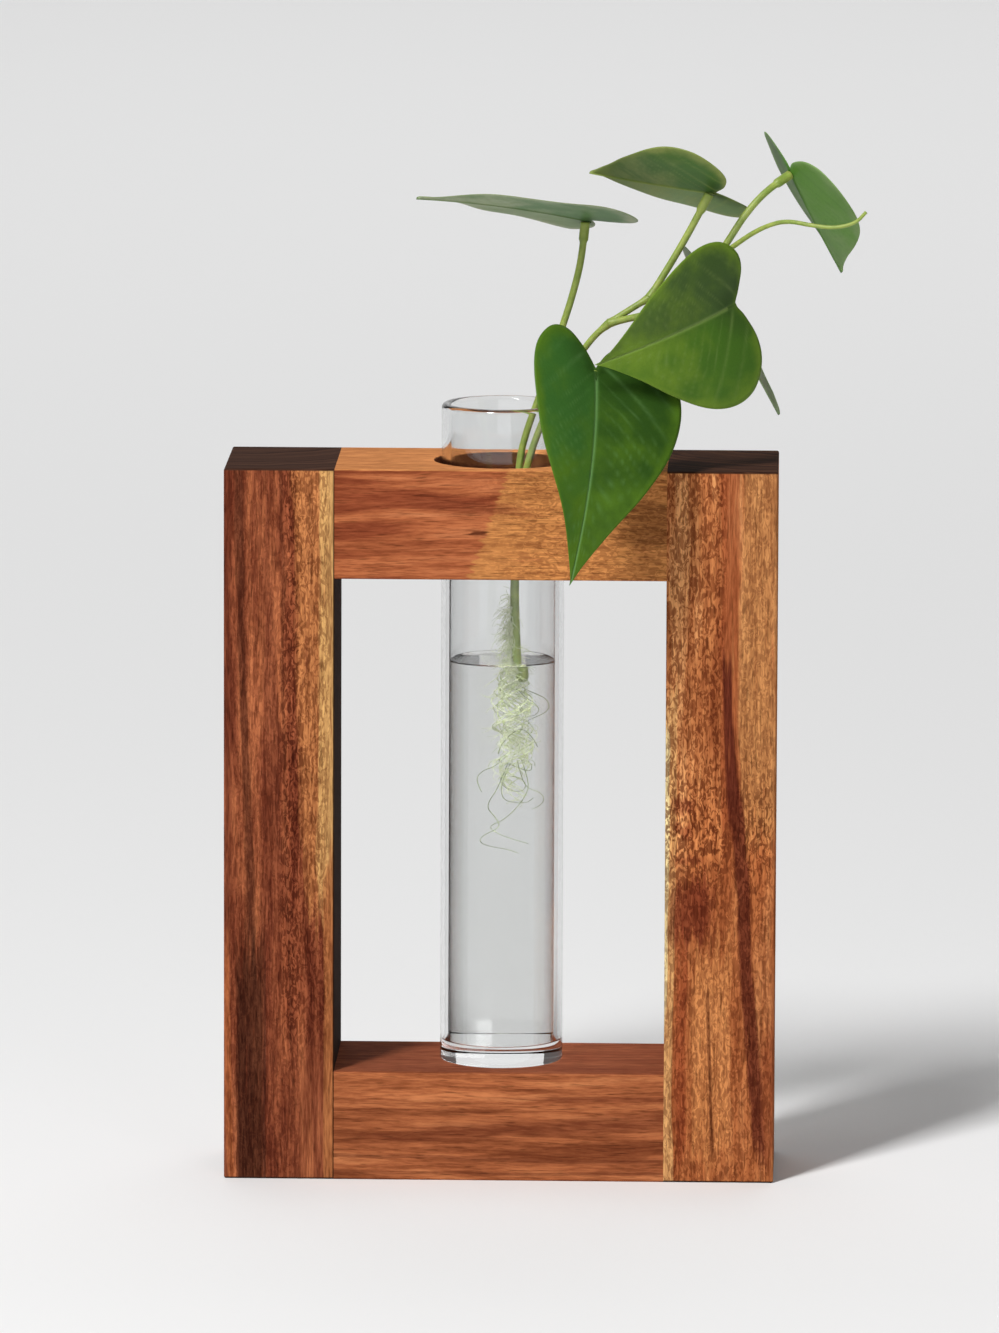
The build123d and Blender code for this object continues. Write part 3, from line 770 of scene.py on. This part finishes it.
def grow_blade(name, leaf, thickness, skins):
    """One leaf as a closed thin blade, with a face and an underside that meet in a thin margin."""
    rows, columns = 90, 30
    verts, faces, marks, grids, kinds = [], [], [], [], []
    for below in (0.0, thickness):
        grid = []
        for side in (1, -1):
            sheet = []
            for i in range(rows + 1):
                t = i / rows
                edge = heart_edge(t)
                rib = Vector((t ** 2.2, 0.0))
                if edge.x < 0:
                    edge.x *= leaf.lobes[side < 0]
                pull = leaf.notch * max(0.0, 1 - t / 0.2) ** 2
                edge.x += pull
                rib.x += pull
                line = []
                for j in range(columns + 1):
                    if side < 0 and j == 0:
                        line.append(grid[0][i][0])
                        continue
                    r = (j / columns) ** 1.35
                    place, mark = blade_point(leaf, hash_of(name), side, t, r, rib.lerp(edge, r), below)
                    line.append(len(verts))
                    verts.append(place)
                    marks.append(mark)
                sheet.append(line)
            grid.append(sheet)
        grids.append(grid)
    for under, grid in enumerate(grids):
        for side, sheet in zip((1, -1), grid):
            for i in range(rows):
                for j in range(columns):
                    a, b, c, d = sheet[i][j], sheet[i + 1][j], sheet[i + 1][j + 1], sheet[i][j + 1]
                    faces.append((a, b, c, d) if (side > 0) != bool(under) else (d, c, b, a))
                    kinds.append(under)
    for side, (top, bottom) in zip((1, -1), zip(*grids)):
        for i in range(rows):
            a, b = top[i][columns], top[i + 1][columns]
            c, d = bottom[i + 1][columns], bottom[i][columns]
            faces.append((b, a, d, c) if side > 0 else (a, b, c, d))
            kinds.append(0)
    mesh = add_piece(f"leaf_{name}_living", verts, faces, skins, "cutting", ["leaf_" + name]).data
    for mark, title in enumerate(leaf_marks):
        layer = mesh.attributes.new(title, "FLOAT", "POINT")
        layer.data.foreach_set("value", [m[mark] for m in marks])
    for face, kind in zip(mesh.polygons, kinds):
        face.material_index = kind
    # The notch and the tip are points, where the fan of lines meets
    work = bmesh.new()
    work.from_mesh(mesh)
    bmesh.ops.remove_doubles(work, verts=work.verts, dist=0.004 * MM)
    bmesh.ops.recalc_face_normals(work, faces=work.faces)
    work.to_mesh(mesh)
    work.free()


def hash_of(name):
    """A steady number for a name, so that each leaf waves in its own way."""
    return sum(ord(c) * (i + 1) for i, c in enumerate(name)) % 97 / 3.0


def soft_skin(name, tones, cloud, spread, gloss, glow, relief=0.0, **edges):
    """Living tissue in two clouded tones, with light that soaks in a little way. cloud is its noise's scale
    and detail, gloss its roughness and IOR, and glow the share, depth and colour of the light inside."""
    material, add = new_material(name)
    scale, detail = cloud
    mix = add("TexNoise", {"Vector": in_millimetres(add), "Scale": scale, "Detail": detail})
    mix = add("MapRange", (mix, *spread), **edges)
    share, depth, radius = glow
    look = {
        "Base Color": add("Mix", {0: mix, 6: tones[0], 7: tones[1]}, **COLOUR),
        "Roughness": gloss[0], "IOR": gloss[1],
        "Subsurface Weight": share, "Subsurface Scale": depth * MM, "Subsurface Radius": radius,
    }
    if relief:
        look["Normal"] = add("Bump", {"Height": mix, "Strength": relief, "Distance": 0.2 * MM})
    add("OutputMaterial", {"Surface": add("BsdfPrincipled", look)})
    return material


def grow_limb(part, path, radius_at, sides, skin):
    """Grows the stem or stalk that stands for the frame's own part of that name, along a path in mm."""
    verts, faces = [], []
    limb(verts, faces, [p * MM for p in path], radius_at, sides)
    add_piece(part + "_living", verts, faces, [skin], "cutting", [part])


class VASE_OT_grow_stalks(bpy.types.Operator):
    """Grow the main stem, the shoot tip and the six leaf stalks"""

    bl_idname = "vase.grow_stalks"
    bl_label = "Grow the stalks"

    def execute(self, context):
        plant = context.scene.vase.plant
        # A living stalk with a waxy skin: yellow-green, clouded, with a soft shine
        tones = plant.stalk[:], plant.stalk_shade[:]
        glow = 0.25, 0.8, (0.6, 1.0, 0.25)
        skin = soft_skin("living_vine_stalk", tones, (0.35, 3.0), (0.35, 0.65), (0.42, 1.42), glow, 0.15)
        # The stem swells at four of its forks, thins upwards and narrows a little at its cut foot
        forks = [Vector(stem_in_tube[3])] + [above_rim(p) for p in (large_fork, upper_fork, right_fork)]
        path = evenly(rounded([Vector(p) for p in stem_in_tube] + [above_rim(p) for p in stem_above]), 0.5)
        swell = [sum(math.exp(-((p - f).length / 1.6) ** 2) for f in forks) for p in path]

        def stem_radius(share):
            taper = 1.0 - 0.36 * min(1.0, 1.9 * share)
            cut_end = min(1.0, 0.72 + share * 40)
            bulge = 1 + 0.38 * swell[round(share * (len(swell) - 1))]
            return plant.stem_width / 2 * taper * cut_end * bulge

        grow_limb("main_stem", path, stem_radius, 20, skin)
        path = evenly(rounded([above_rim(p) for p in [right_fork] + shoot_above]), 0.5)
        grow_limb("shoot_tip", path, lambda share: (0.62 - 0.22 * share) * MM, 14, skin)
        knee_length = 4.6
        for name, leaf in blades.items():
            path = evenly(rounded([above_rim(p) for p in leaf.stalk] + [leaf.knee()]), 0.4)
            knee = knee_length / sum((b - a).length for a, b in zip(path, path[1:]))

            def petiole_radius(share, knee=knee):
                sheath = 1.0 + 0.35 * math.exp(-(share / 0.06) ** 2)
                rise = min(1.0, max(0.0, (share - (1 - knee)) / (0.12 * knee)))
                return plant.petiole_width / 2 * sheath * (1 + 0.36 * rise)

            grow_limb("petiole_" + name, path, petiole_radius, 18, skin)
        return {"FINISHED"}


class VASE_OT_grow_leaves(bpy.types.Operator):
    """Grow the six heart leaves"""

    bl_idname = "vase.grow_leaves"
    bl_label = "Grow the leaves"

    def execute(self, context):
        plant = context.scene.vase.plant
        # Left half, right half, margin and notch of the face and the underside, then the veins and gloss.
        # Where the halves differ, the darker one is painted shade.
        hidden_face = ("#4E8030", "#4E8030", "#7D9640", "#2F5A24")
        looks = {
            "front": (("#31521A", "#3C6A2A", "#54781F", "#24400F"),
                      ("#5E7F4E", "#5E7F4E", "#6F9058", "#4A6A3E"), "#6A9455", 0.45),
            "large": (("#4C7424", "#4A652F", "#73922E", "#3A5423"),
                      ("#6C8A58", "#6C8A58", "#7F9A5C", "#587548"), "#8AA458", 0.45),
            "left": (hidden_face, ("#688F5C", "#8AA476", "#B2BE9C", "#3C5E30"), "#55763A", 0.5),
            "upper": (hidden_face, ("#558038", "#84A266", "#9CA95E", "#2A421C"), "#A9BB66", 0.5),
            "right": (hidden_face, ("#6B8A50", "#72A446", "#8CAE6A", "#66A238"), "#4A7A34", 0.5),
            "back": (hidden_face, ("#7F9070", "#7F9070", "#8E9C7C", "#5F7850"), "#6C8458", 0.5),
        }
        for name, leaf in blades.items():
            grow_blade(name, leaf, plant.leaf_thickness / MM, leaf_skin(name, *looks[name]))
        return {"FINISHED"}


# Long thin root loops round and under the tuft, as (across, height) in mm
root_loops = [
    [(2.4, 112.0), (4.1, 110.3), (5.5, 109.5), (7.75, 108.5), (8.9, 106.9), (7.95, 105.5),
     (5.5, 104.2), (3.6, 103.0), (1.6, 101.5)],
    [(2.4, 110.5), (3.7, 109.0), (5.9, 107.9), (6.9, 106.3), (5.7, 104.7), (3.4, 104.0)],
    [(1.6, 96.5), (-1.3, 93.0), (-3.1, 92.2), (-4.3, 90.3), (-4.0, 88.5), (-3.5, 87.1)],
    [(2.6, 94.5), (3.4, 89.5), (4.3, 87.7), (6.7, 86.9), (7.75, 85.3), (6.7, 83.9), (5.1, 83.1)],
    [(3.0, 95.0), (4.6, 89.0), (4.3, 86.6), (2.7, 83.7), (0.3, 80.7), (-1.7, 79.4), (-2.1, 78.6),
     (-0.5, 77.3), (2.3, 76.2), (4.7, 75.3)],
    [(1.4, 95.0), (-0.9, 87.7), (-2.1, 85.5), (-2.5, 83.1), (-1.3, 81.3), (-0.1, 78.9), (-3.3, 77.3),
     (-4.1, 75.9), (-2.5, 74.6), (0.7, 73.7), (2.7, 72.7)],
    [(0.8, 96.0), (-1.1, 94.1), (1.5, 93.3), (3.5, 92.2), (5.1, 91.9), (5.3, 93.3), (4.5, 94.3)],
    [(-0.7, 95.7), (-0.1, 98.3), (2.3, 101.5), (3.9, 101.8), (5.5, 99.4), (6.0, 97.3)],
    [(1.5, 94.0), (-0.3, 88.4), (0.3, 85.5), (1.9, 84.5), (3.9, 84.2), (5.2, 85.6)],
    [(0.6, 92.0), (-0.6, 89.6), (0.9, 87.4), (3.2, 86.9), (4.4, 88.8), (3.2, 90.7), (1.2, 90.9)],
]


class VASE_OT_grow_roots(bpy.types.Operator):
    """Grow the tuft of fine curling roots on the stem's foot"""

    bl_idname = "vase.grow_roots"
    bl_label = "Grow the roots"

    def execute(self, context):
        plant = context.scene.vase.plant
        # Living water roots, soft and matt: light soaks into the thin pale hairs, and the old ones are duller
        pale, grown = [
            soft_skin(name, tones, (0.9, 2.0), (0.4, 0.6), (0.5, 1.38), (0.4, 0.5, (1.0, 1.0, 0.7)), **SMOOTH)
            for name, tones in (
                ("young_water_root", (plant.root[:], linear("#C9D59C"))),
                ("grown_water_root", (plant.old_root[:], linear("#7F8C62"))),
            )
        ]
        draw = random.Random(11)
        vary = draw.uniform
        verts, faces = [], []
        foot = Vector(stem_in_tube[0])
        room = tube_high.x / MM - 3.1
        step = 0.4
        hairs_left, hairs_right, rootlets, hairs_on_each, turns = 260, 14, 17, 24, 28

        def nudge():
            """A random push to any side."""
            return Vector([vary(-1, 1) for _ in range(3)])

        def strand(path, width, thin=0.5):
            """A limb that thins towards its end and keeps off the glass."""
            for p in path:
                flat = math.hypot(p.x, p.y)
                if flat > room:
                    p.x, p.y = p.x * room / flat, p.y * room / flat
            limb(verts, faces, [p * MM for p in path], lambda s: width / 2 * (1 - thin * s) * MM, 6)

        def hair(start, way, run, width, unrest, sink, hold=0.0):
            """A fine hair that leaves its start one way, curls, sinks and keeps near the tuft's middle."""
            place, way = Vector(start), Vector(way).normalized()
            path = [place.copy()]
            turn = nudge()
            for _ in range(max(6, round(run / step))):
                turn = turn * 0.72 + nudge() * 0.6
                home = Vector((1.6 - place.x, -place.y, 0)) * hold
                way = (way + turn * unrest + home + Vector((0, 0, -sink))).normalized()
                place = place + way * step
                path.append(place.copy())
            strand(path, width)

        # Short pale hairs above the water, most of them up the stem's left side
        for _ in range(hairs_left):
            up = vary(3.5, 15.0) + draw.random() ** 2 * 6.0
            start = (foot.x - 0.4 - 0.03 * up, vary(-0.9, 0.6), foot.z + up)
            way = (-1.0, vary(-0.7, 0.5), vary(-1.3, 0.5))
            hair(start, way, vary(2.6, 7.0), vary(0.11, 0.17), 0.30, 0.12)
        for _ in range(hairs_right):
            start = (foot.x + 0.5, vary(-0.9, 0.6), foot.z + vary(3.5, 8.0))
            hair(start, (1.0, vary(-0.7, 0.5), vary(-1.0, 0.3)), 2.6, 0.13, 0.30, 0.12)
        # Rootlets that wind down round one another under the foot, with hairs all along them
        for k in range(rootlets):
            wide, pitch, phase = vary(1.6, 3.3), vary(7.0, 15.0), vary(0, 2 * math.pi)
            high, low = foot.z + vary(2.0, 5.4), foot.z - vary(15.0, 28.0)
            way = 1 if k % 2 else -1
            path = []
            for i in range(turns + 1):
                share = i / turns
                turn = phase + way * 2 * math.pi * (high - low) * share / pitch
                spread = wide * min(1.0, 0.5 + 2.0 * share) * (1 + 0.25 * math.sin(5 * share + 3 * k))
                path.append(Vector((
                    1.3 + share + spread * math.cos(turn) + vary(-0.25, 0.25),
                    spread * math.sin(turn) + vary(-0.25, 0.25), high + (low - high) * share,
                )))
            path = evenly(rounded(path, 2), 0.5)
            strand(path, vary(0.2, 0.3))
            for _ in range(hairs_on_each):
                at = path[int(draw.random() * (len(path) - 1))]
                way_out = (vary(-1, 1), vary(-1, 1), vary(-0.9, 0.2))
                hair(at, way_out, vary(1.8, 4.2), vary(0.11, 0.18), 0.36, 0.05, 0.05)
        add_piece("root_tuft", verts, faces, [pale], "cutting", ["roots"])

        verts, faces = [], []
        for k, loop in enumerate(root_loops):
            swing = vary(1.0, 2.6)
            path = [Vector((x, swing * math.sin(1.1 * i + 2.0 * k), z)) for i, (x, z) in enumerate(loop)]
            strand(evenly(rounded(path, 3), 0.5), vary(0.17, 0.23), 0.3)
        add_piece("root_loops", verts, faces, [grown], "cutting")
        return {"FINISHED"}


# Stage

def soft_lamp(name, place, aim, height, watts, width):
    """An oblong soft light that the camera doesn't see."""
    lamp = bpy.data.lights.new(name, "AREA")
    lamp.energy = watts
    lamp.shape = "RECTANGLE"
    lamp.size, lamp.size_y = width, height
    holder = add_object(name, lamp)
    holder.location = place
    holder.rotation_euler = (Vector(aim) - Vector(place)).to_track_quat("-Z", "Y").to_euler()
    holder.visible_camera = False


# The photo's view: the camera's place in metres, its yaw, pitch and roll in degrees, and its lens in mm
camera_place = (0.0742, -2.5232, 0.5017)
camera_turn = (1.70, 8.70, 0.20)
camera_lens = 303.0


class VASE_OT_set_stage(bpy.types.Operator):
    """Set the plain floor, the soft lights and the camera"""

    bl_idname = "vase.set_stage"
    bl_label = "Set the stage"

    def execute(self, context):
        stage = context.scene.vase.stage
        # Floor: matt card, so it shows soft shadows and no shine
        material, add = new_material("matt_pale_card")
        shader = add("BsdfPrincipled", {"Base Color": stage.floor[:], "Roughness": 0.85})
        add("OutputMaterial", {"Surface": shader})
        reach = 9.0
        corners = [(-reach, -reach, 0), (reach, -reach, 0), (reach, reach, 0), (-reach, reach, 0)]
        mesh = bpy.data.meshes.new("floor")
        mesh.from_pydata(corners, [], [(0, 1, 2, 3)])
        mesh.materials.append(material)
        floor = add_object("floor", mesh)

        world = bpy.data.worlds.new("even_fill")
        world.use_nodes = True
        sky = world.node_tree.nodes["Background"]
        sky.inputs["Color"].default_value = (1.0, 1.0, 1.0, 1.0)
        sky.inputs["Strength"].default_value = stage.sky
        context.scene.world = world

        middle = (0.0, 0.0, 0.09)
        soft_lamp("key_light", (-0.87, -1.507, 2.02), middle, 1.3, stage.key, 0.34)
        soft_lamp("far_light", (0.0, 2.61, 1.6), (0.0, 2.6, 0.0), 3.2, stage.back, 3.0)
        soft_lamp("far_wall", (0.0, 6.0, 1.2), (0.0, 0.0, 1.2), 2.4, stage.wall, 8.0)
        soft_lamp("low_panel", (0.62, -1.55, 0.30), middle, 0.5, stage.panel, 0.55)

        camera = bpy.data.cameras.new("camera")
        camera.lens = camera_lens
        camera.clip_end = 50.0
        holder = add_object("camera", camera)
        yaw, pitch, roll = [math.radians(angle) for angle in camera_turn]
        holder.matrix_world = (
            Matrix.Translation(camera_place) @ Matrix.Rotation(yaw, 4, "Z")
            @ Matrix.Rotation(math.pi / 2 - pitch, 4, "X") @ Matrix.Rotation(roll, 4, "Z")
        )
        context.scene.camera = holder
        context.scene.view_settings.view_transform = "Standard"
        return {"FINISHED"}


operators = [
    VASE_OT_finish_bars, VASE_OT_finish_dowels, VASE_OT_blow_tube, VASE_OT_pour_water,
    VASE_OT_grow_stalks, VASE_OT_grow_leaves, VASE_OT_grow_roots, VASE_OT_set_stage,
]


class VASE_PT_panel(bpy.types.Panel):
    """The vase's steps and settings in the 3D view's sidebar"""

    bl_idname = "VASE_PT_panel"
    bl_label = "Propagation Vase"
    bl_space_type = "VIEW_3D"
    bl_region_type = "UI"
    bl_category = "Vase"

    def draw(self, context):
        for step in operators:
            self.layout.operator(step.bl_idname)
        for name in ("wood", "glass", "plant", "stage"):
            group = getattr(context.scene.vase, name)
            box = self.layout.box()
            for prop in group.__annotations__:
                box.prop(group, prop)


classes = [WoodSettings, GlassSettings, PlantSettings, StageSettings, VaseSettings, *operators, VASE_PT_panel]


def register():
    for made in classes:
        bpy.utils.register_class(made)
    bpy.types.Scene.vase = PointerProperty(type=VaseSettings)


def unregister():
    del bpy.types.Scene.vase
    for made in reversed(classes):
        bpy.utils.unregister_class(made)


def main():
    register()
    bpy.ops.vase.finish_bars()
    bpy.ops.vase.finish_dowels()
    bpy.ops.vase.blow_tube()
    bpy.ops.vase.pour_water()
    bpy.ops.vase.grow_stalks()
    bpy.ops.vase.grow_leaves()
    bpy.ops.vase.grow_roots()
    bpy.ops.vase.set_stage()


if __name__ == "__main__":
    main()
